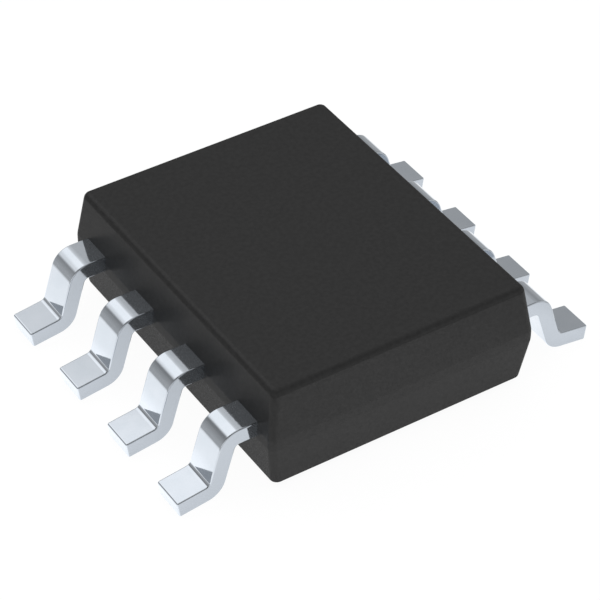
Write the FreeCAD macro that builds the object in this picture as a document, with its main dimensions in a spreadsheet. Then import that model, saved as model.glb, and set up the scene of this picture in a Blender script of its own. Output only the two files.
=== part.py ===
import FreeCAD, Part
import math
import os
import Sketcher

# A narrow eight-lead small-outline chip, in millimetres and degrees.
# X runs across the two rows of leads, Y along them and Z up.
# The origin is the middle of the footprint, on the surface of the board.

LEADS_PER_ROW = 4

# Driving dimensions: name, value, meaning
SIZES = (
    ("lead_pitch", 1.27, "between the centre lines of neighbouring leads"),
    ("end_margin", 0.585, "from the outermost lead's centre line to the end of the body"),
    ("body_width", 4.0, "body across its land, from row to row"),
    ("cap_height", 0.71, "moulding above the land"),
    ("land_height", 0.15, "upright land round the parting line"),
    ("base_depth", 0.66, "moulding below the land"),
    ("standoff", 0.11, "underside of the body above the board"),
    ("draft_angle", 8.0, "lean of the moulded walls"),
    ("edge_radius", 0.1, "rounding of the body's upright corners and of its top rim"),
    ("bottom_rim_radius", 0.03, "rounding of the body's bottom rim"),
    ("ejector_mark_width", 0.9, "round mark of the ejector pin under the body"),
    ("ejector_mark_depth", 0.03, "depth of that mark"),
    ("frame_thickness", 0.23, "sheet that leads, die pad and tie bars are stamped from"),
    ("lead_rise", 0.071, "from the middle of the land up to the middle of the sheet"),
    ("lead_width", 0.5, "lead outside the body"),
    ("bend_radius", 0.08, "inside of both bends of a lead"),
    ("leg_lean", 17.0, "leg of a lead from the upright"),
    ("foot_slope", 8.0, "foot of a lead from the board"),
    ("shoulder_run", 0.247, "straight run from the body's wall to the first bend"),
    ("foot_run", 0.423, "straight run of the sole from the heel to the toe"),
    ("edge_break", 0.02, "broken edges on the outer face of a stamped lead"),
    ("head_width", 0.8, "bonding head of a middle lead, along the row"),
    ("head_reach", 0.35, "bonding head of a middle lead, across the row"),
    ("arm_reach", 0.6, "bonding arm of a corner lead, along the end of the die pad"),
    ("arm_gap", 0.3, "between a tie bar and the tip of a corner lead"),
    ("tip_gap", 0.2, "between the die pad and the leads round it, seen from above"),
    ("pad_width", 2.2, "die pad across the rows"),
    ("pad_length", 2.5, "die pad along the rows"),
    ("pad_downset", 0.3, "die pad below the leads"),
    ("tie_bar_width", 0.3, "tie bar across"),
    ("tie_bar_run", 0.1, "level run of a tie bar beside the die pad"),
    ("tie_bar_ramp", 0.3, "sloping run of a tie bar, along the body"),
    ("tie_bar_cover", 0.12, "moulding between a tie bar's end and the end of the body"),
    ("attach_thickness", 0.03, "glue between the die pad and the die"),
    ("attach_margin", 0.06, "glue that stands out past the die"),
    ("attach_slope", 45.0, "lean of the glue's edge"),
    ("die_width", 1.4, "die across the rows"),
    ("die_length", 1.7, "die along the rows"),
    ("die_thickness", 0.28, "die"),
    ("wire_width", 0.04, "diameter of a bond wire"),
    ("ball_width", 0.09, "squashed ball at the die end of a bond wire"),
    ("ball_height", 0.03, "that ball's height"),
    ("wire_rise", 0.12, "upright run of a bond wire above the die"),
    ("wire_kink", 0.06, "slanting run at the top of a bond wire's loop, up and across"),
    ("bond_inset", 0.12, "from the die's edges to the centres of its bond pads"),
    ("stitch_inset", 0.15, "from a lead's inner edges to the end of its bond wire"),
)

# Levels, from the board up
LAND_BOTTOM = "(Sizes.standoff + Sizes.base_depth)"
LAND_TOP = f"({LAND_BOTTOM} + Sizes.land_height)"
SHEET_MIDDLE = f"({LAND_BOTTOM} + Sizes.land_height / 2 + Sizes.lead_rise)"
SHEET_BOTTOM = f"({SHEET_MIDDLE} - Sizes.frame_thickness / 2)"
SHEET_TOP = f"({SHEET_MIDDLE} + Sizes.frame_thickness / 2)"
PAD_BOTTOM = f"({SHEET_BOTTOM} - Sizes.pad_downset)"
PAD_TOP = f"({SHEET_TOP} - Sizes.pad_downset)"
DIE_BOTTOM = f"({PAD_TOP} + Sizes.attach_thickness)"
DIE_TOP = f"({DIE_BOTTOM} + Sizes.die_thickness)"
BODY_TOP = f"({LAND_TOP} + Sizes.cap_height)"

# Places seen from above
BODY_LENGTH = f"({LEADS_PER_ROW - 1} * Sizes.lead_pitch + 2 * Sizes.end_margin)"
ROW_HALF_LENGTH = f"({(LEADS_PER_ROW - 1) / 2} * Sizes.lead_pitch)"
HEAD_TIP = "(Sizes.pad_width / 2 + Sizes.tip_gap)"
ARM_TIP = "(Sizes.tie_bar_width / 2 + Sizes.arm_gap)"
ARM_EDGE = "(Sizes.pad_length / 2 + Sizes.tip_gap)"

# Sketch references: the origin point and the horizontal and vertical axes
ORIGIN_POINT = (-1, 1)
HORIZONTAL_AXIS, VERTICAL_AXIS = range(-1, -3, -1)
START, END, CENTRE = range(1, 4)

# Points nearer than this are the same, and a cut runs this far past what it trims
TOUCHING = 1e-6
PAST = 1.0


def make_sheet(doc):
    sheet = doc.addObject("Spreadsheet::Sheet", "Sizes")
    for row, (name, value, meaning) in enumerate(SIZES, start=1):
        sheet.set(f"A{row}", name)
        sheet.set(f"B{row}", str(value))
        sheet.set(f"C{row}", meaning)
        sheet.setAlias(f"B{row}", name)
    doc.recompute()


def number(item, expression):
    return float(item.evalExpression(expression))


def new_body(doc, label):
    body = doc.addObject("PartDesign::Body", label)
    body.Label = label
    return body


def add_sketch(body, name, plane_role, height=None):
    sketch = body.newObject("Sketcher::SketchObject", name)
    plane = next(item for item in body.Origin.OriginFeatures if item.Role == plane_role)
    sketch.AttachmentSupport = [(plane, "")]
    sketch.MapMode = "FlatFace"
    if height:
        sketch.setExpression("AttachmentOffset.Base.z", height)
    return sketch


def add_dimension(sketch, name, expression, kind, *places):
    value = number(sketch, expression)
    index = sketch.addConstraint(Sketcher.Constraint(kind, *places, value))
    sketch.renameConstraint(index, name)
    sketch.setExpression("Constraints." + name, expression)


def add_angle(sketch, name, expression, line):
    value = math.radians(number(sketch, expression))
    index = sketch.addConstraint(Sketcher.Constraint("Angle", line, value))
    sketch.renameConstraint(index, name)
    sketch.setExpression("Constraints." + name, f"({expression}) * 1 deg")


def link(sketch, kind, *places):
    sketch.addConstraint(Sketcher.Constraint(kind, *places))


def add_polygon(sketch, corners):
    """Draws a closed outline and returns the index of its first line."""
    first = sketch.GeometryCount
    points = [FreeCAD.Vector(x, y, 0) for x, y in corners]
    for index, point in enumerate(points):
        following = points[(index + 1) % len(points)]
        sketch.addGeometry(Part.LineSegment(point, following))
    for index in range(len(points)):
        following = (index + 1) % len(points)
        link(sketch, "Coincident", first + index, END, first + following, START)
    return first


def add_rectangle(sketch, left, right, low, high):
    x_low, x_high, y_low, y_high = (number(sketch, side) for side in (left, right, low, high))
    corners = ((x_low, y_low), (x_high, y_low), (x_high, y_high), (x_low, y_high))
    first = add_polygon(sketch, corners)
    opposite = first + 2
    for side in (first, opposite):
        link(sketch, "Horizontal", side)
        link(sketch, "Vertical", side + 1)
    add_dimension(sketch, "left", left, "DistanceX", *ORIGIN_POINT, first, START)
    add_dimension(sketch, "low", low, "DistanceY", *ORIGIN_POINT, first, START)
    add_dimension(sketch, "right", right, "DistanceX", *ORIGIN_POINT, opposite, START)
    add_dimension(sketch, "high", high, "DistanceY", *ORIGIN_POINT, opposite, START)


def add_centred_rectangle(sketch, across, along):
    add_rectangle(sketch, f"-{across} / 2", f"{across} / 2", f"-{along} / 2", f"{along} / 2")


def add_circle(sketch, width):
    radius = number(sketch, width) / 2
    centre = FreeCAD.Vector(0, 0, 0)
    sketch.addGeometry(Part.Circle(centre, FreeCAD.Vector(0, 0, 1), radius))
    link(sketch, "Coincident", 0, CENTRE, *ORIGIN_POINT)
    add_dimension(sketch, "width", width, "Diameter", 0)


def add_pad(body, name, sketch, length, taper=None, symmetric=False):
    pad = body.newObject("PartDesign::Pad", name)
    pad.Profile = sketch
    pad.setExpression("Length", length)
    if symmetric:
        pad.SideType = "Symmetric"
    if taper:
        pad.setExpression("TaperAngle", f"-{taper}")
    return pad


def add_pocket(body, name, sketch, depth, upward=False):
    pocket = body.newObject("PartDesign::Pocket", name)
    pocket.Profile = sketch
    pocket.setExpression("Length", depth)
    pocket.Reversed = upward
    return pocket


def add_fillet(body, name, base, edges, radius):
    fillet = body.newObject("PartDesign::Fillet", name)
    fillet.Base = (base, edges)
    fillet.setExpression("Radius", radius)
    return fillet


def edges_where(shape, wanted):
    return [f"Edge{index}" for index, edge in enumerate(shape.Edges, start=1) if wanted(edge)]


def is_level(edge):
    heights = [vertex.Z for vertex in edge.Vertexes]
    return max(heights) - min(heights) < TOUCHING


def lies_at(edge, height):
    return is_level(edge) and abs(edge.Vertexes[0].Z - height) < TOUCHING


# Moulded body


def draw_drafted_view(sketch, half_width):
    """The moulding seen level: a base and a cap that narrow away from the upright land."""
    slope = "tan(Sizes.draft_angle * 1 deg)"
    levels = (
        ("bottom", "Sizes.standoff", f"({half_width} - Sizes.base_depth * {slope})"),
        ("land_bottom", LAND_BOTTOM, half_width),
        ("land_top", LAND_TOP, half_width),
        ("top", BODY_TOP, f"({half_width} - Sizes.cap_height * {slope})"),
    )
    right_side = [(number(sketch, edge), number(sketch, level)) for _, level, edge in levels]
    left_side = [(-edge, level) for edge, level in reversed(right_side)]
    add_polygon(sketch, right_side + left_side)
    for index, (name, level, edge) in enumerate(levels):
        mirrored = 2 * len(levels) - 1 - index
        link(sketch, "Symmetric", index, START, mirrored, START, VERTICAL_AXIS)
        add_dimension(sketch, name + "_level", level, "DistanceY", *ORIGIN_POINT, index, START)
        add_dimension(sketch, name + "_edge", edge, "DistanceX", *ORIGIN_POINT, index, START)


def make_mould_block(doc):
    """The moulding as it leaves the mould, still solid where the frame and die lie."""
    body = new_body(doc, "mould_block")
    end_view = add_sketch(body, "EndView", "XZ_Plane")
    draw_drafted_view(end_view, "(Sizes.body_width / 2)")
    add_pad(body, "Bar", end_view, BODY_LENGTH, symmetric=True)

    # The ends lean like the sides: whatever lies outside the side view is trimmed off
    side_view = add_sketch(body, "SideView", "YZ_Plane")
    draw_drafted_view(side_view, f"({BODY_LENGTH} / 2)")
    past_end = f"({BODY_LENGTH} / 2 + {PAST})"
    add_rectangle(side_view, f"-{past_end}", past_end, f"-{PAST}", f"{BODY_TOP} + {PAST}")
    trimmed = body.newObject("PartDesign::Pocket", "DraftedEnds")
    trimmed.Profile = side_view
    trimmed.SideType = "Symmetric"
    trimmed.Type = "ThroughAll"
    doc.recompute()

    top = number(body, BODY_TOP)
    upper = edges_where(trimmed.Shape, lambda edge: not is_level(edge) or lies_at(edge, top))
    rounded = add_fillet(body, "CornersAndTopRim", trimmed, upper, "Sizes.edge_radius")
    doc.recompute()
    bottom = number(body, "Sizes.standoff")
    lower = edges_where(rounded.Shape, lambda edge: lies_at(edge, bottom))
    add_fillet(body, "BottomRim", rounded, lower, "Sizes.bottom_rim_radius")

    mark_outline = add_sketch(body, "EjectorMarkOutline", "XY_Plane", "Sizes.standoff")
    add_circle(mark_outline, "Sizes.ejector_mark_width")
    add_pocket(body, "EjectorMark", mark_outline, "Sizes.ejector_mark_depth", upward=True)
    return body


# Leads

# A lead's outline from the side runs clockwise from its root
SHOULDER, KNEE, SHIN, ANKLE, FOOT, TOE = range(6)
SOLE, HEEL, BACK, KNEE_HOLLOW, UNDERSIDE, ROOT_END = range(6, 12)
OUTER_FACE = (SHOULDER, KNEE, SHIN, ANKLE, FOOT)
KNEE_PLACE = "(Sizes.body_width / 2 + Sizes.shoulder_run)"


def along(point, angle, distance):
    return point + FreeCAD.Vector(math.cos(angle), math.sin(angle), 0) * distance


def bend(centre, radius, first, last):
    circle = Part.Circle(centre, FreeCAD.Vector(0, 0, 1), radius)
    return Part.ArcOfCircle(circle, first, last)


def lead_outline(sketch, root):
    """The side view of a formed lead: both bends share their centres on the two faces."""
    thickness = number(sketch, "Sizes.frame_thickness")
    inside = number(sketch, "Sizes.bend_radius")
    outside = inside + thickness
    foot_run = number(sketch, "Sizes.foot_run")
    top = number(sketch, SHEET_TOP)
    root_x = number(sketch, root)

    # Directions of the outward normals of the leg and the foot
    leg_normal = math.radians(number(sketch, "Sizes.leg_lean"))
    foot_normal = math.radians(90 - number(sketch, "Sizes.foot_slope"))
    leg_down = leg_normal - math.pi / 2
    foot_out = foot_normal - math.pi / 2

    knee = FreeCAD.Vector(number(sketch, KNEE_PLACE), top - outside, 0)
    ankle_height = outside * math.sin(foot_normal) - foot_run * math.sin(foot_out)
    leg_start = along(knee, leg_normal, inside + outside)
    leg_run = (leg_start.y - ankle_height) / -math.sin(leg_down)
    ankle = along(leg_start, leg_down, leg_run)

    shoulder_end = FreeCAD.Vector(knee.x, top, 0)
    underside_end = FreeCAD.Vector(knee.x, top - thickness, 0)
    root_top = FreeCAD.Vector(root_x, top, 0)
    root_bottom = FreeCAD.Vector(root_x, top - thickness, 0)
    instep = along(ankle, foot_normal, -inside)
    heel = along(ankle, foot_normal, -outside)
    toe_top = along(instep, foot_out, foot_run)
    toe_bottom = along(heel, foot_out, foot_run)
    ankle_span = (leg_normal + math.pi, foot_normal + math.pi)
    knee_span = (leg_normal, math.pi / 2)
    return (
        Part.LineSegment(root_top, shoulder_end),
        bend(knee, outside, *knee_span),
        Part.LineSegment(along(knee, leg_normal, outside), along(ankle, leg_normal, -inside)),
        bend(ankle, inside, *ankle_span),
        Part.LineSegment(instep, toe_top),
        Part.LineSegment(toe_top, toe_bottom),
        Part.LineSegment(toe_bottom, heel),
        bend(ankle, outside, *ankle_span),
        Part.LineSegment(along(ankle, leg_normal, -outside), along(knee, leg_normal, inside)),
        bend(knee, inside, *knee_span),
        Part.LineSegment(underside_end, root_bottom),
        Part.LineSegment(root_bottom, root_top),
    )


def constrain_lead(sketch, root):
    link(sketch, "Tangent", SHOULDER, END, KNEE, END)
    link(sketch, "Tangent", KNEE, START, SHIN, START)
    link(sketch, "Tangent", SHIN, END, ANKLE, START)
    link(sketch, "Tangent", ANKLE, END, FOOT, START)
    link(sketch, "Coincident", FOOT, END, TOE, START)
    link(sketch, "Coincident", TOE, END, SOLE, START)
    link(sketch, "Tangent", SOLE, END, HEEL, END)
    link(sketch, "Tangent", HEEL, START, BACK, START)
    link(sketch, "Tangent", BACK, END, KNEE_HOLLOW, START)
    link(sketch, "Tangent", KNEE_HOLLOW, END, UNDERSIDE, START)
    link(sketch, "Coincident", UNDERSIDE, END, ROOT_END, START)
    link(sketch, "Coincident", ROOT_END, END, SHOULDER, START)
    link(sketch, "Coincident", KNEE, CENTRE, KNEE_HOLLOW, CENTRE)
    link(sketch, "Coincident", ANKLE, CENTRE, HEEL, CENTRE)
    link(sketch, "Horizontal", SHOULDER)
    link(sketch, "Horizontal", UNDERSIDE)
    link(sketch, "Vertical", ROOT_END)
    link(sketch, "Parallel", SHIN, BACK)
    link(sketch, "Parallel", FOOT, SOLE)
    link(sketch, "Perpendicular", FOOT, TOE)
    link(sketch, "PointOnObject", SOLE, START, HORIZONTAL_AXIS)
    add_dimension(sketch, "root", root, "DistanceX", *ORIGIN_POINT, ROOT_END, START)
    add_dimension(sketch, "level", SHEET_TOP, "DistanceY", *ORIGIN_POINT, ROOT_END, END)
    ends = (ROOT_END, START, ROOT_END, END)
    add_dimension(sketch, "thickness", "Sizes.frame_thickness", "DistanceY", *ends)
    add_dimension(sketch, "knee", KNEE_PLACE, "DistanceX", *ORIGIN_POINT, UNDERSIDE, START)
    add_dimension(sketch, "knee_radius", "Sizes.bend_radius", "Radius", KNEE_HOLLOW)
    add_dimension(sketch, "ankle_radius", "Sizes.bend_radius", "Radius", ANKLE)
    add_dimension(sketch, "sole", "Sizes.foot_run", "Distance", SOLE)
    add_angle(sketch, "leg_lean", "Sizes.leg_lean - 90", SHIN)
    add_angle(sketch, "foot_slope", "-Sizes.foot_slope", FOOT)


def outer_face_edges(sketch, strip):
    """The long edges that the stamping breaks, on both sides of the outer face."""
    half_width = number(sketch, "Sizes.lead_width / 2")
    middles = []
    for index in OUTER_FACE:
        curve = sketch.Geometry[index]
        middle = curve.value((curve.FirstParameter + curve.LastParameter) / 2)
        for side in (-half_width, half_width):
            middles.append(Part.Vertex(middle.x, side, middle.y))
    return edges_where(
        strip.Shape,
        lambda edge: any(edge.distToShape(middle)[0] < TOUCHING for middle in middles),
    )


def add_strip(doc, body, root):
    profile = add_sketch(body, "SideView", "XZ_Plane")
    for piece in lead_outline(profile, root):
        profile.addGeometry(piece)
    constrain_lead(profile, root)
    strip = add_pad(body, "Strip", profile, "Sizes.lead_width", symmetric=True)
    doc.recompute()
    edges = outer_face_edges(profile, strip)
    stamped = body.newObject("PartDesign::Chamfer", "StampedEdges")
    stamped.Base = (strip, edges)
    stamped.setExpression("Size", "Sizes.edge_break")


def make_lead(doc, lead_number, right_row, place):
    """One lead. place counts pitches from the middle of its row, towards +Y."""
    body = new_body(doc, f"lead_{lead_number}")
    is_corner = abs(place) == (LEADS_PER_ROW - 1) / 2
    add_strip(doc, body, ARM_TIP if is_corner else HEAD_TIP)

    bond_area = add_sketch(body, "BondArea", "XY_Plane", SHEET_BOTTOM)
    if is_corner:
        reach = f"{ARM_TIP} + Sizes.arm_reach"
        edge_in = f"({ROW_HALF_LENGTH} - {ARM_EDGE})"
        edge_out = "Sizes.lead_width / 2"
        if (place > 0) == right_row:
            add_rectangle(bond_area, ARM_TIP, reach, f"-{edge_in}", edge_out)
        else:
            add_rectangle(bond_area, ARM_TIP, reach, f"-{edge_out}", edge_in)
    else:
        reach = f"{HEAD_TIP} + Sizes.head_reach"
        edge = "Sizes.head_width / 2"
        add_rectangle(bond_area, HEAD_TIP, reach, f"-{edge}", edge)
    add_pad(body, "BondHead", bond_area, "Sizes.frame_thickness")

    body.setExpression("Placement.Base.y", f"{place} * Sizes.lead_pitch")
    if not right_row:
        body.Placement.Rotation = FreeCAD.Rotation(FreeCAD.Vector(0, 0, 1), 180)
    return body


# Die pad and die


def draw_tie_bar(sketch):
    ramp_start = "(Sizes.pad_length / 2 + Sizes.tie_bar_run)"
    ramp_end = f"({ramp_start} + Sizes.tie_bar_ramp)"
    bar_end = f"({BODY_LENGTH} / 2 - Sizes.tie_bar_cover)"
    start, stop, end = (number(sketch, place) for place in (ramp_start, ramp_end, bar_end))
    pad_low, pad_high = number(sketch, PAD_BOTTOM), number(sketch, PAD_TOP)
    bar_low, bar_high = number(sketch, SHEET_BOTTOM), number(sketch, SHEET_TOP)
    under = ((0, pad_low), (start, pad_low), (stop, bar_low), (end, bar_low))
    over = ((end, bar_high), (stop, bar_high), (start, pad_high), (0, pad_high))
    add_polygon(sketch, under + over)

    pad_under, ramp_under, bar_under, bar_tip, bar_over, ramp_over, pad_over, middle = range(8)
    for line in (pad_under, bar_under, bar_over, pad_over):
        link(sketch, "Horizontal", line)
    for line in (bar_tip, middle):
        link(sketch, "Vertical", line)
    link(sketch, "PointOnObject", pad_under, START, VERTICAL_AXIS)
    link(sketch, "Vertical", ramp_under, START, ramp_over, END)
    link(sketch, "Vertical", ramp_under, END, ramp_over, START)
    add_dimension(sketch, "ramp_start", ramp_start, "DistanceX", *ORIGIN_POINT, ramp_under, START)
    add_dimension(sketch, "ramp_end", ramp_end, "DistanceX", *ORIGIN_POINT, ramp_under, END)
    add_dimension(sketch, "bar_end", bar_end, "DistanceX", *ORIGIN_POINT, bar_tip, START)
    add_dimension(sketch, "pad_low", PAD_BOTTOM, "DistanceY", *ORIGIN_POINT, pad_under, START)
    add_dimension(sketch, "pad_high", PAD_TOP, "DistanceY", *ORIGIN_POINT, pad_over, END)
    add_dimension(sketch, "bar_low", SHEET_BOTTOM, "DistanceY", *ORIGIN_POINT, bar_tip, START)
    add_dimension(sketch, "bar_high", SHEET_TOP, "DistanceY", *ORIGIN_POINT, bar_tip, END)


def make_die_pad(doc):
    """The downset paddle, with a tie bar that climbs to the leads' level at each end."""
    body = new_body(doc, "die_pad")
    paddle_outline = add_sketch(body, "PaddleOutline", "XY_Plane", PAD_BOTTOM)
    add_centred_rectangle(paddle_outline, "Sizes.pad_width", "Sizes.pad_length")
    add_pad(body, "Paddle", paddle_outline, "Sizes.frame_thickness")

    side_view = add_sketch(body, "TieBarSideView", "YZ_Plane")
    draw_tie_bar(side_view)
    tie_bar = add_pad(body, "TieBar", side_view, "Sizes.tie_bar_width", symmetric=True)
    doc.recompute()

    mirrored = body.newObject("PartDesign::Mirrored", "OtherTieBar")
    mirrored.Originals = [tie_bar]
    across = next(item for item in body.Origin.OriginFeatures if item.Role == "XZ_Plane")
    mirrored.MirrorPlane = (across, [""])
    body.Tip = mirrored
    return body


def make_die_attach(doc):
    body = new_body(doc, "die_attach")
    outline = add_sketch(body, "GlueOutline", "XY_Plane", PAD_TOP)
    margin = "2 * Sizes.attach_margin"
    add_centred_rectangle(outline, f"(Sizes.die_width + {margin})", f"(Sizes.die_length + {margin})")
    add_pad(body, "Glue", outline, "Sizes.attach_thickness", taper="Sizes.attach_slope")
    return body


def make_die(doc):
    die = doc.addObject("Part::Box", "die")
    die.Label = "die"
    die.setExpression("Length", "Sizes.die_width")
    die.setExpression("Width", "Sizes.die_length")
    die.setExpression("Height", "Sizes.die_thickness")
    die.setExpression("Placement.Base.x", "-Sizes.die_width / 2")
    die.setExpression("Placement.Base.y", "-Sizes.die_length / 2")
    die.setExpression("Placement.Base.z", DIE_BOTTOM)
    return die


# Bond wires


def wire_ends(right_row, place):
    """Where a wire leaves the die and where it lands on its lead, seen from above."""
    side = 1 if right_row else -1
    share = place / ((LEADS_PER_ROW - 1) / 2)
    die_x = f"({side} * (Sizes.die_width / 2 - Sizes.bond_inset))"
    die_y = f"({share} * (Sizes.die_length / 2 - Sizes.bond_inset))"
    if abs(share) == 1:
        lead_x = f"({side} * ({ARM_TIP} + Sizes.stitch_inset))"
        lead_y = f"({share} * ({ARM_EDGE} + Sizes.stitch_inset))"
    else:
        lead_x = f"({side} * ({HEAD_TIP} + Sizes.stitch_inset))"
        lead_y = f"({place} * Sizes.lead_pitch)"
    return die_x, die_y, lead_x, lead_y


def draw_wire_path(sketch, span, landing):
    """Up from the ball, over a short slanting run, then straight down to the lead."""
    crest = "(Sizes.wire_rise + Sizes.wire_kink)"
    stops = (("0", "Sizes.wire_rise"), ("Sizes.wire_kink", crest), (span, landing))
    points = [FreeCAD.Vector(0, 0, 0)]
    for x, y in stops:
        points.append(FreeCAD.Vector(number(sketch, x), number(sketch, y), 0))
    for index, point in enumerate(points[:-1]):
        sketch.addGeometry(Part.LineSegment(point, points[index + 1]))
    upright, kink, descent = range(3)
    link(sketch, "Coincident", upright, START, *ORIGIN_POINT)
    link(sketch, "Coincident", upright, END, kink, START)
    link(sketch, "Coincident", kink, END, descent, START)
    link(sketch, "Vertical", upright)
    add_dimension(sketch, "rise", "Sizes.wire_rise", "DistanceY", *ORIGIN_POINT, upright, END)
    add_dimension(sketch, "kink", "Sizes.wire_kink", "DistanceX", *ORIGIN_POINT, kink, END)
    add_dimension(sketch, "crest", crest, "DistanceY", *ORIGIN_POINT, kink, END)
    add_dimension(sketch, "span", span, "DistanceX", *ORIGIN_POINT, descent, END)
    add_dimension(sketch, "landing", landing, "DistanceY", *ORIGIN_POINT, descent, END)


def make_bond_wire(doc, lead_number, right_row, place):
    body = new_body(doc, f"bond_wire_{lead_number}")
    die_x, die_y, lead_x, lead_y = wire_ends(right_row, place)
    span = f"hypot({lead_x} - {die_x}; {lead_y} - {die_y})"
    lead_level = f"({SHEET_TOP} - {DIE_TOP})"

    ball_outline = add_sketch(body, "BallOutline", "XY_Plane")
    add_circle(ball_outline, "Sizes.ball_width")
    add_pad(body, "Ball", ball_outline, "Sizes.ball_height")

    # The wire runs on into the lead, and is then cut flush with the lead's top
    path = add_sketch(body, "WirePath", "XZ_Plane")
    draw_wire_path(path, span, f"{lead_level} - Sizes.wire_width")
    section = add_sketch(body, "WireSection", "XY_Plane")
    add_circle(section, "Sizes.wire_width")
    wire = body.newObject("PartDesign::AdditivePipe", "Wire")
    wire.Profile = section
    wire.Spine = path
    wire.Transition = "Right corner"
    stitch_outline = add_sketch(body, "StitchPlane", "XY_Plane", lead_level)
    add_rectangle(stitch_outline, f"{span} / 2", f"{span} + {PAST}", f"-{PAST}", f"{PAST}")
    add_pocket(body, "Stitch", stitch_outline, f"{PAST}")

    body.setExpression("Placement.Base.x", die_x)
    body.setExpression("Placement.Base.y", die_y)
    body.setExpression("Placement.Base.z", DIE_TOP)
    turn = f"atan2({lead_y} - {die_y}; {lead_x} - {die_x})"
    body.setExpression("Placement.Rotation.Angle", turn)
    return body


# The finished moulding


def make_mould_body(doc, block, inner_pieces):
    """The moulding with the exact hollow that everything cast into it fills."""
    contents = doc.addObject("Part::Compound", "contents")
    contents.Links = inner_pieces
    moulding = doc.addObject("Part::Cut", "mould_body")
    moulding.Label = "mould_body"
    moulding.Base = block
    moulding.Tool = contents
    return moulding


def lead_places():
    """Lead numbers run down the left row and back up the right one."""
    half_row = (LEADS_PER_ROW - 1) / 2
    for index in range(LEADS_PER_ROW):
        yield index + 1, False, half_row - index
    for index in range(LEADS_PER_ROW):
        yield LEADS_PER_ROW + index + 1, True, index - half_row


def check(doc, parts):
    for item in doc.Objects:
        if "Invalid" in item.State or "Error" in item.State:
            raise RuntimeError(f"{item.Label} failed: {item.State}")
    for part in parts:
        shape = part.Shape
        if shape.isNull() or not shape.isValid() or len(shape.Solids) != 1:
            raise RuntimeError(f"{part.Label} is not one valid solid")


def main():
    doc = FreeCAD.newDocument("SmallOutlineChip")
    make_sheet(doc)
    block = make_mould_block(doc)
    inner_pieces = [make_lead(doc, *place) for place in lead_places()]
    inner_pieces += [make_die_pad(doc), make_die_attach(doc), make_die(doc)]
    inner_pieces += [make_bond_wire(doc, *place) for place in lead_places()]
    doc.recompute()
    parts = [make_mould_body(doc, block, inner_pieces)] + inner_pieces
    doc.recompute()
    check(doc, parts)
    os.makedirs("parts", exist_ok=True)
    for part in parts:
        part.Shape.exportStep(f"parts/{part.Label}.step")


main()
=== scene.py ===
import math

import bmesh
import bpy
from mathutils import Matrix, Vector


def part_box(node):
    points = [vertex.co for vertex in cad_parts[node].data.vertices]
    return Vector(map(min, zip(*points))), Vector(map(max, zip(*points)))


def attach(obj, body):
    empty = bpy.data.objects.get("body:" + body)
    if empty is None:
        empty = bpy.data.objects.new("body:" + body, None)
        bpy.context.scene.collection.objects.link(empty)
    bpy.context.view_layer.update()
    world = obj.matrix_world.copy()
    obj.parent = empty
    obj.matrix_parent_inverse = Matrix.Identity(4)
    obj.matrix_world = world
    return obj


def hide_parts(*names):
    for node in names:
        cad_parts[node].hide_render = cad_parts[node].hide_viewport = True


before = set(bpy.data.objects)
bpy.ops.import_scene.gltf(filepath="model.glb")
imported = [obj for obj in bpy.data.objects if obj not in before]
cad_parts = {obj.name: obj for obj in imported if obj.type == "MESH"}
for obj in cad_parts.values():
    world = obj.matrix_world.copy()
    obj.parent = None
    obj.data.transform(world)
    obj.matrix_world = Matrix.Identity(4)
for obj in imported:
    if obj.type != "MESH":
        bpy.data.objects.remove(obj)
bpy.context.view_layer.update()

# Sizes below are in millimetres, as in the part's source. X runs across the rows of leads.
MM = 0.001
DEGREE = math.radians(1)

# Moulded body
LAND_BOTTOM = 0.77
LAND_TOP = 0.92
DRAFT = math.radians(8)
CORNER_RADIUS = 0.1
TOP_RIM_RADIUS = 0.1
BOTTOM_RIM_RADIUS = 0.03
CREASE_EASE = 0.02
MARK_RADIUS = 0.45
MARK_DEPTH = 0.03

# Faces of the moulding round each corner, along each side and over each rim
CORNER_STEPS = 10
SIDE_STEPS = 12
RIM_STEPS = 7

# Leads
PITCH = 1.27
SHEET = 0.23
SHEET_TOP = 1.031
LEAD_HALF_WIDTH = 0.25
INSIDE_BEND = 0.08
LEG_LEAN = math.radians(17)
FOOT_SLOPE = math.radians(8)
KNEE_X = 2.247
FOOT_RUN = 0.423
LEADS_IN_ROW = 4

# Roundings of a lead's outer and inner edges and of its toe, and the least where these meet
ROLLED_EDGE = 0.02
BURR_EDGE = 0.015
TOE_EDGE = 0.03
LEAST_EDGE = 0.003

# Faces of a lead round its two bends and round each edge
KNEE_STEPS = 16
ANKLE_STEPS = 12
EDGE_STEPS = 4

# Bonding ends inside the moulding: a head on the inner leads, and an arm on the corner ones
HEAD_FROM = 1.3
HEAD_TO = 1.65
HEAD_HALF_WIDTH = 0.4
ARM_FROM = 0.45
ARM_TO = 1.05
ARM_INNER_EDGE = 0.455

# Where a face and a rounded edge meet at less than this cosine, the face keeps its own normal
SHARP_EDGE = 0.5


# Meshes


def new_piece(name, bm, material, normals=None):
    """Normals, one for each vertex, keep flat faces flat up to their rounded edges."""
    mesh = bpy.data.meshes.new(name)
    bmesh.ops.recalc_face_normals(bm, faces=bm.faces)
    bm.to_mesh(mesh)
    bm.free()
    if normals:
        mesh.shade_smooth()
        mesh.normals_split_custom_set(corner_normals(mesh, normals))
    mesh.materials.append(material)
    piece = bpy.data.objects.new(name, mesh)
    bpy.context.scene.collection.objects.link(piece)
    return piece


def corner_normals(mesh, normals):
    """Each face takes its vertices' normals, or its own where it meets them at a sharp edge."""
    found = []
    for face in mesh.polygons:
        for vertex in face.vertices:
            normal = normals[vertex]
            found.append(normal if normal.dot(face.normal) > SHARP_EDGE else face.normal)
    return found


def add_ring(bm, normals, ring):
    """Adds a ring of (point, normal) pairs, with points in millimetres."""
    vertices = []
    for point, normal in ring:
        vertices.append(bm.verts.new(Vector(point) * MM))
        normals.append(Vector(normal))
    return vertices


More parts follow.
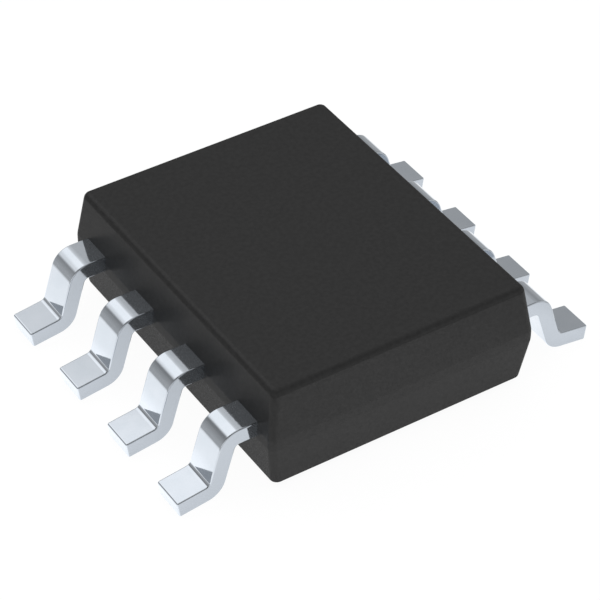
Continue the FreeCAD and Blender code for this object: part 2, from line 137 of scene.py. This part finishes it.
def join_rings(bm, rings):
    for ring, following in zip(rings, rings[1:]):
        for index in range(len(ring)):
            beside = (index + 1) % len(ring)
            bm.faces.new((ring[index], ring[beside], following[beside], following[index]))


def arc(start, end, steps):
    return [start + (end - start) * step / steps for step in range(steps + 1)]


# Moulded body


def rounded_rectangle(half_x, half_y, radius):
    """One level of the moulding as (point, direction), counterclockwise seen from above."""
    signs = ((1, 1), (-1, 1), (-1, -1), (1, -1))
    corners = []
    for corner, (sign_x, sign_y) in enumerate(signs):
        first = math.radians(90) * corner
        middle = Vector((sign_x * (half_x - radius), sign_y * (half_y - radius)))
        points = []
        for angle in arc(first, first + math.radians(90), CORNER_STEPS):
            direction = Vector((math.cos(angle), math.sin(angle)))
            points.append((middle + direction * radius, direction))
        corners.append(points)
    outline = []
    for corner, points in enumerate(corners):
        outline.extend(points)
        last, direction = points[-1]
        following = corners[(corner + 1) % len(corners)][0][0]
        for step in range(1, SIDE_STEPS):
            outline.append((last.lerp(following, step / SIDE_STEPS), direction))
    return outline


def rim_profile(wall_end, rim_level, radius, upward):
    """The rounded rim from the wall to the level face, as (outset, height, radius, lean)."""
    slope = math.tan(DRAFT)
    middle_level = rim_level - upward * radius
    middle_out = -abs(middle_level - wall_end) * slope - radius / math.cos(DRAFT)
    profile = []
    for angle in arc(DRAFT, math.radians(90), RIM_STEPS):
        out = middle_out + radius * math.cos(angle)
        level = middle_level + upward * radius * math.sin(angle)
        wall_out = -abs(level - wall_end) * slope
        profile.append((out, level, CORNER_RADIUS - (wall_out - out), upward * angle))
    return profile


def eased_crease(level, away):
    """Two places close to a crease of the land: one on the land, one on the drafted wall."""
    on_land = (0, level - away * CREASE_EASE, CORNER_RADIUS, 0)
    drafted_out = -CREASE_EASE * math.tan(DRAFT)
    return on_land, (drafted_out, level + away * CREASE_EASE, CORNER_RADIUS, away * DRAFT)


def make_moulding(material):
    low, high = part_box("mould_body")
    half_x = high.x / MM
    half_y = high.y / MM
    bottom = low.z / MM
    on_land_low, on_base = eased_crease(LAND_BOTTOM, -1)
    on_land_high, on_cap = eased_crease(LAND_TOP, 1)
    profile = rim_profile(LAND_BOTTOM, bottom, BOTTOM_RIM_RADIUS, -1)[::-1]
    profile += [on_base, on_land_low, on_land_high, on_cap]
    profile += rim_profile(LAND_TOP, high.z / MM, TOP_RIM_RADIUS, 1)

    bm = bmesh.new()
    normals = []
    rings = []
    for out, level, radius, lean in profile:
        ring = []
        for point, direction in rounded_rectangle(half_x + out, half_y + out, radius):
            outward = direction * math.cos(lean)
            ring.append(((*point, level), (*outward, math.sin(lean))))
        rings.append(add_ring(bm, normals, ring))
    join_rings(bm, rings)
    bm.faces.new(rings[-1])

    # The ejector pin's mark is sunk into the underside
    around = [Vector((vertex.co.x, vertex.co.y)).normalized() * MARK_RADIUS for vertex in rings[0]]
    mark = [rings[0]]
    for level in (bottom, bottom + MARK_DEPTH):
        mark.append(add_ring(bm, normals, [((*point, level), (0, 0, -1)) for point in around]))
    join_rings(bm, mark)
    bm.faces.new(mark[-1])
    return new_piece("moulding", bm, material, normals)


# Leads


def lead_stations():
    """The outer face of a lead in its side view, as (point, normal, turn round the toe's edge)."""
    outside = INSIDE_BEND + SHEET
    knee = Vector((KNEE_X, SHEET_TOP - outside))
    foot_normal = math.radians(90) - FOOT_SLOPE
    stations = []
    for angle in arc(math.radians(90), LEG_LEAN, KNEE_STEPS):
        normal = Vector((math.cos(angle), math.sin(angle)))
        stations.append((knee + normal * outside, normal, 0))

    # The sole's end touches the board
    leg_normal = stations[-1][1]
    leg_down = Vector((leg_normal.y, -leg_normal.x))
    foot_out = Vector((math.sin(foot_normal), -math.cos(foot_normal)))
    ankle_level = outside * math.sin(foot_normal) - FOOT_RUN * foot_out.y
    leg_start = knee + leg_normal * (outside + INSIDE_BEND)
    ankle = leg_start + leg_down * ((leg_start.y - ankle_level) / -leg_down.y)
    for angle in arc(LEG_LEAN, foot_normal, ANKLE_STEPS):
        normal = Vector((math.cos(angle), math.sin(angle)))
        stations.append((ankle - normal * INSIDE_BEND, normal, 0))

    # The toe is cut off square, with its edges slightly rounded
    instep, normal, _ = stations[-1]
    for turn in arc(0, math.radians(90), EDGE_STEPS):
        run = FOOT_RUN - TOE_EDGE * (1 - math.sin(turn))
        stations.append((instep + foot_out * run, normal, turn))
    return stations


def lead_section(point, normal, low_side, high_side, turn=0.0):
    """The sheet's cross-section as (point, normal): rolled outer edges, burred inner ones."""

    # Each corner's side, its way inward, its rounding, and the angle where that begins
    corners = (
        (high_side, -1, ROLLED_EDGE, 0),
        (low_side, 1, ROLLED_EDGE, 90),
        (low_side, 1, BURR_EDGE, 180),
        (high_side, -1, BURR_EDGE, 270),
    )
    inset = TOE_EDGE * (1 - math.cos(turn))
    upright = Vector((normal.x, 0, normal.y))
    ahead = Vector((normal.y, 0, -normal.x))
    section = []
    for side, inward, edge, first in corners:
        radius = max(edge - inset, LEAST_EDGE)
        reach = inset + radius
        depth = reach if first < 180 else SHEET - reach
        middle = Vector((point.x, side + inward * reach, point.y)) - upright * depth
        for angle in arc(math.radians(first), math.radians(first + 90), EDGE_STEPS):
            outward = upright * math.sin(angle) + Vector((0, math.cos(angle), 0))
            place = middle + outward * radius
            section.append((place, outward * math.cos(turn) + ahead * math.sin(turn)))
    return section


def make_lead(number, right_row, place, material):
    """A lead that stands place pitches along its row from the middle of the chip."""
    level = Vector((0, 1))
    edges = (-LEAD_HALF_WIDTH, LEAD_HALF_WIDTH)
    at_corner = abs(place) > 1
    if at_corner:
        inner_is_low = (place > 0) == right_row
        wide = (-ARM_INNER_EDGE, edges[1]) if inner_is_low else (edges[0], ARM_INNER_EDGE)
        span = (ARM_FROM, ARM_TO)
    else:
        wide = (-HEAD_HALF_WIDTH, HEAD_HALF_WIDTH)
        span = (HEAD_FROM, HEAD_TO)
    sections = [lead_section(Vector((x, SHEET_TOP)), level, *wide) for x in span]
    sections.append(lead_section(Vector((span[1], SHEET_TOP)), level, *edges))
    for point, normal, turn in lead_stations():
        sections.append(lead_section(point, normal, *edges, turn))

    bm = bmesh.new()
    normals = []
    facing = Vector((1, 1, 1)) if right_row else Vector((-1, -1, 1))
    middle = Vector((0, place * PITCH, 0))
    rings = []
    for section in sections:
        ring = [(point * facing + middle, normal * facing) for point, normal in section]
        rings.append(add_ring(bm, normals, ring))
    join_rings(bm, rings)
    bm.faces.new(rings[0])
    bm.faces.new(rings[-1])
    return new_piece(f"formed_lead_{number}", bm, material, normals)


def lead_places():
    """Each lead's number, whether it is in the right row, and its place there in pitches."""
    middle = (LEADS_IN_ROW - 1) / 2
    for index in range(LEADS_IN_ROW):
        yield index + 1, False, middle - index
    for index in range(LEADS_IN_ROW):
        yield LEADS_IN_ROW + index + 1, True, index - middle


# Materials

# Noise stays mostly within these parts of its range from 0 to 1
GRAIN_SPAN = (0.3, 0.7)
MOTTLE_SPAN = (0.35, 0.65)

# Share of the moulded skin's shine by its grain, and by how far aslant it is seen
SKIN_SHINE = (0.3, 0.54)
ASLANT_SPAN = (0.38, 0.65)
ASLANT_SHINE = (1, 0.61)

# How far a lead's face turns sideways from rolled to sheared, and how metallic it is at both
SHEARED_SPAN = (0.75, 0.95)
SHEARED_METAL = (0.98, 0.915)


def link(tree, source, output, target, entry):
    tree.links.new(source.outputs[output], target.inputs[entry])


def add_math(tree, operation, *sources):
    """A math node whose inputs are numbers or (node, output) pairs."""
    node = tree.nodes.new("ShaderNodeMath")
    node.operation = operation
    for entry, source in enumerate(sources):
        if isinstance(source, tuple):
            link(tree, *source, node, entry)
        else:
            node.inputs[entry].default_value = source
    return node


def add_remap(tree, source, output, span, result):
    """Turns an output that runs over span into one that runs over result."""
    node = tree.nodes.new("ShaderNodeMapRange")
    node.inputs["From Min"].default_value = span[0]
    node.inputs["From Max"].default_value = span[1]
    node.inputs["To Min"].default_value = result[0]
    node.inputs["To Max"].default_value = result[1]
    link(tree, source, output, node, "Value")
    return node


def mix_colours(tree, first=None, second=None):
    """A mix of two colours, each given here or linked in afterwards."""
    mix = tree.nodes.new("ShaderNodeMix")
    mix.data_type = "RGBA"
    for entry, colour in (("A", first), ("B", second)):
        if colour:
            mix.inputs[entry].default_value = (*colour, 1)
    return mix


def make_grain_group():
    """Fine grain and broad mottle over a surface, by their sizes in millimetres."""
    group = bpy.data.node_groups.new("Surface grain", "ShaderNodeTree")
    for name, size in (("Grain size", 0.03), ("Mottle size", 0.5)):
        entry = group.interface.new_socket(name, in_out="INPUT", socket_type="NodeSocketFloat")
        entry.default_value = size
    for name in ("Grain", "Mottle"):
        group.interface.new_socket(name, in_out="OUTPUT", socket_type="NodeSocketFloat")
    inside = group.nodes.new("NodeGroupInput")
    result = group.nodes.new("NodeGroupOutput")
    place = group.nodes.new("ShaderNodeTexCoord")
    in_millimetres = group.nodes.new("ShaderNodeVectorMath")
    in_millimetres.operation = "SCALE"
    in_millimetres.inputs["Scale"].default_value = 1 / MM
    link(group, place, "Object", in_millimetres, 0)
    for name, detail in (("Grain", 3.0), ("Mottle", 4.0)):
        per_millimetre = add_math(group, "DIVIDE", 1, (inside, name + " size"))
        noise = group.nodes.new("ShaderNodeTexNoise")
        noise.inputs["Detail"].default_value = detail
        link(group, in_millimetres, "Vector", noise, "Vector")
        link(group, per_millimetre, "Value", noise, "Scale")
        link(group, noise, "Fac", result, name)
    return group


def new_material(name, grain_group, grain_size, mottle_size):
    material = bpy.data.materials.new(name)
    material.use_nodes = True
    tree = material.node_tree
    shader = tree.nodes["Principled BSDF"]
    grain = tree.nodes.new("ShaderNodeGroup")
    grain.node_tree = grain_group
    grain.inputs["Grain size"].default_value = grain_size
    grain.inputs["Mottle size"].default_value = mottle_size
    return material, tree, shader, grain


def add_relief(tree, shader, grain, height, strength):
    """Grain that stands out by height, in millimetres."""
    bump = tree.nodes.new("ShaderNodeBump")
    bump.inputs["Distance"].default_value = height * MM
    bump.inputs["Strength"].default_value = strength
    link(tree, grain, "Grain", bump, "Height")
    link(tree, bump, "Normal", shader, "Normal")


def add_finish(tree, shader, grain, dark, light, smooth, rough):
    """Colour follows the mottle and roughness the grain."""
    colour = mix_colours(tree, dark, light)
    spread = add_remap(tree, grain, "Mottle", MOTTLE_SPAN, (0, 1))
    link(tree, spread, "Result", colour, "Factor")
    link(tree, colour, "Result", shader, "Base Color")
    roughness = add_remap(tree, grain, "Grain", GRAIN_SPAN, (smooth, rough))
    link(tree, roughness, "Result", shader, "Roughness")
    return colour


def make_mould_compound(grain_group):
    material, tree, shader, grain = new_material(
        "mould_compound", grain_group, grain_size=0.022, mottle_size=0.06
    )
    shader.inputs["Specular IOR Level"].default_value = 0
    shader.inputs["Coat Roughness"].default_value = 0.27
    dark = (0.0192, 0.0192, 0.0193)
    light = (0.0234, 0.0234, 0.0235)
    add_finish(tree, shader, grain, dark, light, smooth=0.68, rough=0.76)
    add_relief(tree, shader, grain, height=0.002, strength=0.6)

    # The moulded skin shines less in the pits of its grain, and less where it is seen aslant
    skin = add_remap(tree, grain, "Grain", GRAIN_SPAN, SKIN_SHINE)
    slant = tree.nodes.new("ShaderNodeLayerWeight")
    aslant = add_remap(tree, slant, "Facing", ASLANT_SPAN, ASLANT_SHINE)
    shine = add_math(tree, "MULTIPLY", (skin, "Result"), (aslant, "Result"))
    link(tree, shine, "Value", shader, "Coat Weight")
    return material


def make_tin_plate(grain_group):
    material, tree, shader, grain = new_material(
        "tin_plate", grain_group, grain_size=0.02, mottle_size=0.25
    )
    dark = (0.705, 0.76, 0.825)
    light = (0.74, 0.79, 0.855)
    plated = add_finish(tree, shader, grain, dark, light, smooth=0.05, rough=0.08)
    add_relief(tree, shader, grain, height=0.0006, strength=0.15)

    # Sheared sides are duller than the rolled faces, and scatter more of the light
    geometry = tree.nodes.new("ShaderNodeNewGeometry")
    split = tree.nodes.new("ShaderNodeSeparateXYZ")
    link(tree, geometry, "Normal", split, "Vector")
    sideways = add_math(tree, "ABSOLUTE", (split, "Y"))
    sheared = add_remap(tree, sideways, "Value", SHEARED_SPAN, (0, 1))
    sides = mix_colours(tree, second=(0.465, 0.503, 0.552))
    link(tree, plated, "Result", sides, "A")
    link(tree, sheared, "Result", sides, "Factor")
    link(tree, sides, "Result", shader, "Base Color")
    metallic = add_remap(tree, sideways, "Value", SHEARED_SPAN, SHEARED_METAL)
    link(tree, metallic, "Result", shader, "Metallic")
    return material


def make_frame_copper(grain_group):
    material, tree, shader, grain = new_material(
        "frame_copper", grain_group, grain_size=0.02, mottle_size=0.3
    )
    shader.inputs["Metallic"].default_value = 1
    dark = (0.82, 0.45, 0.3)
    light = (0.88, 0.53, 0.38)
    add_finish(tree, shader, grain, dark, light, smooth=0.25, rough=0.38)
    add_relief(tree, shader, grain, height=0.0008, strength=0.3)
    return material


def make_die_glue(grain_group):
    material, tree, shader, grain = new_material(
        "die_glue", grain_group, grain_size=0.012, mottle_size=0.1
    )
    dark = (0.5, 0.5, 0.48)
    light = (0.68, 0.68, 0.66)
    add_finish(tree, shader, grain, dark, light, smooth=0.4, rough=0.6)
    add_relief(tree, shader, grain, height=0.002, strength=0.5)
    return material


def make_silicon(grain_group):
    material, tree, shader, grain = new_material(
        "silicon", grain_group, grain_size=0.01, mottle_size=0.2
    )
    shader.inputs["Metallic"].default_value = 0.6
    dark = (0.15, 0.16, 0.19)
    light = (0.2, 0.21, 0.25)
    add_finish(tree, shader, grain, dark, light, smooth=0.08, rough=0.14)
    add_relief(tree, shader, grain, height=0.0003, strength=0.1)
    return material


def make_gold_wire(grain_group):
    material, tree, shader, grain = new_material(
        "gold_wire", grain_group, grain_size=0.008, mottle_size=0.1
    )
    shader.inputs["Metallic"].default_value = 1
    dark = (0.9, 0.66, 0.27)
    light = (0.96, 0.74, 0.36)
    add_finish(tree, shader, grain, dark, light, smooth=0.14, rough=0.24)
    add_relief(tree, shader, grain, height=0.0004, strength=0.2)
    return material


# Studio

WHITE = (1, 1, 1, 1)

# Floor: half of its width in metres, its shade, and how much it glows and is lit to the camera
FLOOR_HALF = 0.25
FLOOR_SHADE = 0.9
SEEN_GLOW = 0.95
SEEN_LIT = 0.06

# In the metal it glows and is lit this much, as a painted pool of light round the chip that fades
# with the distance in millimetres
PAPER_GLOW = 0.95
PAPER_LIT = 0.28
PAINTED_POOL_IN_METAL = ((3.4, 1), (3.75, 0.85), (4.7, 0.79), (7, 0.34), (9, 0.33))

# A millimetre along Y counts for less of that distance, so the painted pool reaches further along Y
PAPER_COUNTS = (1, 0.6, 1)

# Brightness of the room by elevation in degrees, at the back and at the front
ROOM_BACK = (
    (0, 0.42), (7, 0.39), (14, 0.34), (21, 0.3), (29, 0.22),
    (50, 0.17), (62, 0.04), (67, 0.04), (74, 0.55),
)
ROOM_FRONT = ((0, 0.85), (15, 0.62), (31, 0.37), (42, 0.18), (60, 0.03), (67, 0.03), (74, 0.55))

# The back of the room turns into its front between these Y values of a direction
BACK_TO_FRONT = (0.1, -0.4)

# The softbox at the back: its brightness, and its share of that by elevation and by azimuth in
# degrees, from +Y towards +X
SOFTBOX = 1.08
SOFTBOX_UPWARD = ((18, 0), (27, 0.7), (37, 0.72), (43, 1), (56, 1), (70, 0))
SOFTBOX_LEFT_END = ((-40, 0), (-34.5, 1))

# The softbox hangs askew: its right end moves by this much azimuth for each degree of elevation
ASKEW = 2.2
SOFTBOX_RIGHT_END = (
    (-98, 1), (-94, 0.95), (-91.8, 0.67), (-88, 0.67),
    (-82, 0.5), (-62, 0.43), (-20, 0.27), (10, 0),
)

# Overhead softbox, in metres
OVERHEAD_HEIGHT = 0.1
OVERHEAD_WIDTH = 0.2
OVERHEAD_BRIGHTNESS = 1.24

# Camera, with its target and distance in millimetres and its angles in degrees
CAMERA_SENSOR = 36
CAMERA_LENS = 162.546
CAMERA_TARGET = (-0.0899, -0.1519, 0.72)
CAMERA_DISTANCE = 35.664
CAMERA_AZIMUTH = -147.411
CAMERA_ELEVATION = 40.107


def add_emission(tree, strength):
    node = tree.nodes.new("ShaderNodeEmission")
    node.inputs["Color"].default_value = WHITE
    node.inputs["Strength"].default_value = strength
    return node


def add_diffuse(tree, shade):
    node = tree.nodes.new("ShaderNodeBsdfDiffuse")
    node.inputs["Color"].default_value = (shade, shade, shade, 1)
    return node


def add_shaders(tree, first, second):
    node = tree.nodes.new("ShaderNodeAddShader")
    link(tree, first, 0, node, 0)
    link(tree, second, 0, node, 1)
    return node


def mix_shaders(tree, source, output, first, second):
    """Goes from the first shader to the second by an output of source."""
    node = tree.nodes.new("ShaderNodeMixShader")
    link(tree, source, output, node, 0)
    link(tree, first, 0, node, 1)
    link(tree, second, 0, node, 2)
    return node


def add_shades(tree, measure, stops, unit):
    """Grey shades along a measure, from (place, shade) stops with their places in unit."""
    first, last = stops[0][0], stops[-1][0]
    along = add_remap(tree, measure, "Value", (first * unit, last * unit), (0, 1))
    ramp = tree.nodes.new("ShaderNodeValToRGB")
    shades = ramp.color_ramp.elements
    while len(shades) < len(stops):
        shades.new(1)
    for shade, (place, brightness) in zip(shades, stops):
        shade.position = (place - first) / (last - first)
        shade.color = (brightness, brightness, brightness, 1)
    link(tree, along, "Result", ramp, "Fac")
    return ramp


def make_floor_material():
    """A white sweep to the camera and to the metal, which still takes the object's shadow, and in
    the metal a painted pool of light round the chip.
    """
    material = bpy.data.materials.new("floor_paper")
    material.use_nodes = True
    material.cycles.emission_sampling = "NONE"
    tree = material.node_tree
    tree.nodes.remove(tree.nodes["Principled BSDF"])
    path = tree.nodes.new("ShaderNodeLightPath")
    seen = add_shaders(tree, add_emission(tree, SEEN_GLOW), add_diffuse(tree, SEEN_LIT))
    plain = mix_shaders(tree, path, "Is Camera Ray", add_diffuse(tree, FLOOR_SHADE), seen)

    # In the metal the floor shows a painted pool of light, brightest round the chip and falling off
    # into the dim room
    place = tree.nodes.new("ShaderNodeTexCoord")
    counted = tree.nodes.new("ShaderNodeVectorMath")
    counted.operation = "MULTIPLY"
    counted.inputs[1].default_value = PAPER_COUNTS
    link(tree, place, "Object", counted, 0)
    distance = tree.nodes.new("ShaderNodeVectorMath")
    distance.operation = "LENGTH"
    link(tree, counted, "Vector", distance, 0)
    painted_pool = add_shades(tree, distance, PAINTED_POOL_IN_METAL, MM)
    glow = add_emission(tree, PAPER_GLOW)
    link(tree, painted_pool, "Color", glow, "Color")
    shaded = tree.nodes.new("ShaderNodeBsdfDiffuse")
    lit = mix_colours(tree, (0, 0, 0), (PAPER_LIT, PAPER_LIT, PAPER_LIT))
    link(tree, painted_pool, "Color", lit, "Factor")
    link(tree, lit, "Result", shaded, "Color")
    mirrored = add_shaders(tree, glow, shaded)
    reflected = add_math(tree, "MAXIMUM", (path, "Is Glossy Ray"), (path, "Is Transmission Ray"))
    paper = mix_shaders(tree, reflected, "Value", plain, mirrored)
    link(tree, paper, 0, tree.nodes["Material Output"], "Surface")
    return material


def make_floor():
    bm = bmesh.new()
    corners = ((-1, -1), (1, -1), (1, 1), (-1, 1))
    bm.faces.new([bm.verts.new((x * FLOOR_HALF, y * FLOOR_HALF, 0)) for x, y in corners])
    floor = new_piece("floor", bm, make_floor_material())


def light_room():
    """White to the camera, and otherwise a dim room with a softbox at its back, bright overhead."""
    world = bpy.data.worlds.new("studio")
    bpy.context.scene.world = world
    world.use_nodes = True
    tree = world.node_tree
    direction = tree.nodes.new("ShaderNodeTexCoord")
    split = tree.nodes.new("ShaderNodeSeparateXYZ")
    link(tree, direction, "Generated", split, "Vector")
    elevation = add_math(tree, "ARCSINE", (split, "Z"))
    azimuth = add_math(tree, "ARCTAN2", (split, "X"), (split, "Y"))
    askew = add_math(tree, "MULTIPLY_ADD", (elevation, "Value"), -ASKEW, (azimuth, "Value"))

    room = mix_colours(tree)
    front = add_remap(tree, split, "Y", BACK_TO_FRONT, (0, 1))
    link(tree, front, "Result", room, "Factor")
    link(tree, add_shades(tree, elevation, ROOM_BACK, DEGREE), "Color", room, "A")
    link(tree, add_shades(tree, elevation, ROOM_FRONT, DEGREE), "Color", room, "B")

    upward = add_shades(tree, elevation, SOFTBOX_UPWARD, DEGREE)
    left_end = add_shades(tree, azimuth, SOFTBOX_LEFT_END, DEGREE)
    right_end = add_shades(tree, askew, SOFTBOX_RIGHT_END, DEGREE)
    across = add_math(tree, "MULTIPLY", (left_end, "Color"), (right_end, "Color"))
    share = add_math(tree, "MULTIPLY", (upward, "Color"), (across, "Value"))
    lit = mix_colours(tree, second=(SOFTBOX, SOFTBOX, SOFTBOX))
    link(tree, share, "Value", lit, "Factor")
    link(tree, room, "Result", lit, "A")
    background = tree.nodes["Background"]
    link(tree, lit, "Result", background, "Color")

    seen = tree.nodes.new("ShaderNodeBackground")
    seen.inputs["Color"].default_value = WHITE
    path = tree.nodes.new("ShaderNodeLightPath")
    surroundings = mix_shaders(tree, path, "Is Camera Ray", background, seen)
    link(tree, surroundings, 0, tree.nodes["World Output"], "Surface")


def place_at(item, distance, azimuth, elevation, target=(0, 0, 0)):
    """Turns item to the target from distance, azimuth from +Y towards +X, all angles in degrees."""
    around = math.radians(azimuth)
    up = math.radians(elevation)
    back = Vector((math.sin(around) * math.cos(up), math.cos(around) * math.cos(up), math.sin(up)))
    item.location = Vector(target) + back * distance
    item.rotation_euler = back.to_track_quat("Z", "Y").to_euler()


def add_overhead_softbox():
    """Lights the object from above, and shows neither to the camera nor in the metal."""
    lamp = bpy.data.lights.new("overhead_softbox", "AREA")
    lamp.shape = "SQUARE"
    lamp.size = OVERHEAD_WIDTH
    lamp.energy = OVERHEAD_BRIGHTNESS * math.pi * OVERHEAD_WIDTH * OVERHEAD_WIDTH
    softbox = bpy.data.objects.new("overhead_softbox", lamp)
    softbox.visible_camera = False
    softbox.visible_glossy = False
    bpy.context.scene.collection.objects.link(softbox)
    place_at(softbox, OVERHEAD_HEIGHT, azimuth=0, elevation=90)


def add_camera():
    camera = bpy.data.cameras.new("camera")
    camera.sensor_width = CAMERA_SENSOR
    camera.lens = CAMERA_LENS
    camera.clip_start = 0.001
    camera.clip_end = 5
    viewer = bpy.data.objects.new("camera", camera)
    bpy.context.scene.collection.objects.link(viewer)
    bpy.context.scene.camera = viewer
    target = [place * MM for place in CAMERA_TARGET]
    place_at(viewer, CAMERA_DISTANCE * MM, CAMERA_AZIMUTH, CAMERA_ELEVATION, target)


# Assembly

grain_group = make_grain_group()
mould_compound = make_mould_compound(grain_group)
tin_plate = make_tin_plate(grain_group)
inner_finishes = {
    "die_pad": make_frame_copper(grain_group),
    "die_attach": make_die_glue(grain_group),
    "die": make_silicon(grain_group),
}
gold_wire = make_gold_wire(grain_group)
for number, _, _ in lead_places():
    inner_finishes[f"bond_wire_{number}"] = gold_wire
for node, finish in inner_finishes.items():
    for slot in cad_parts[node].material_slots:
        slot.material = finish

moulding = make_moulding(mould_compound)
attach(moulding, "root")
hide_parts("mould_body")
for number, right_row, place in lead_places():
    lead = make_lead(number, right_row, place, tin_plate)
    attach(lead, "root")
    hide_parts(f"lead_{number}")

make_floor()
light_room()
add_overhead_softbox()
add_camera()
bpy.context.scene.view_settings.view_transform = "Standard"
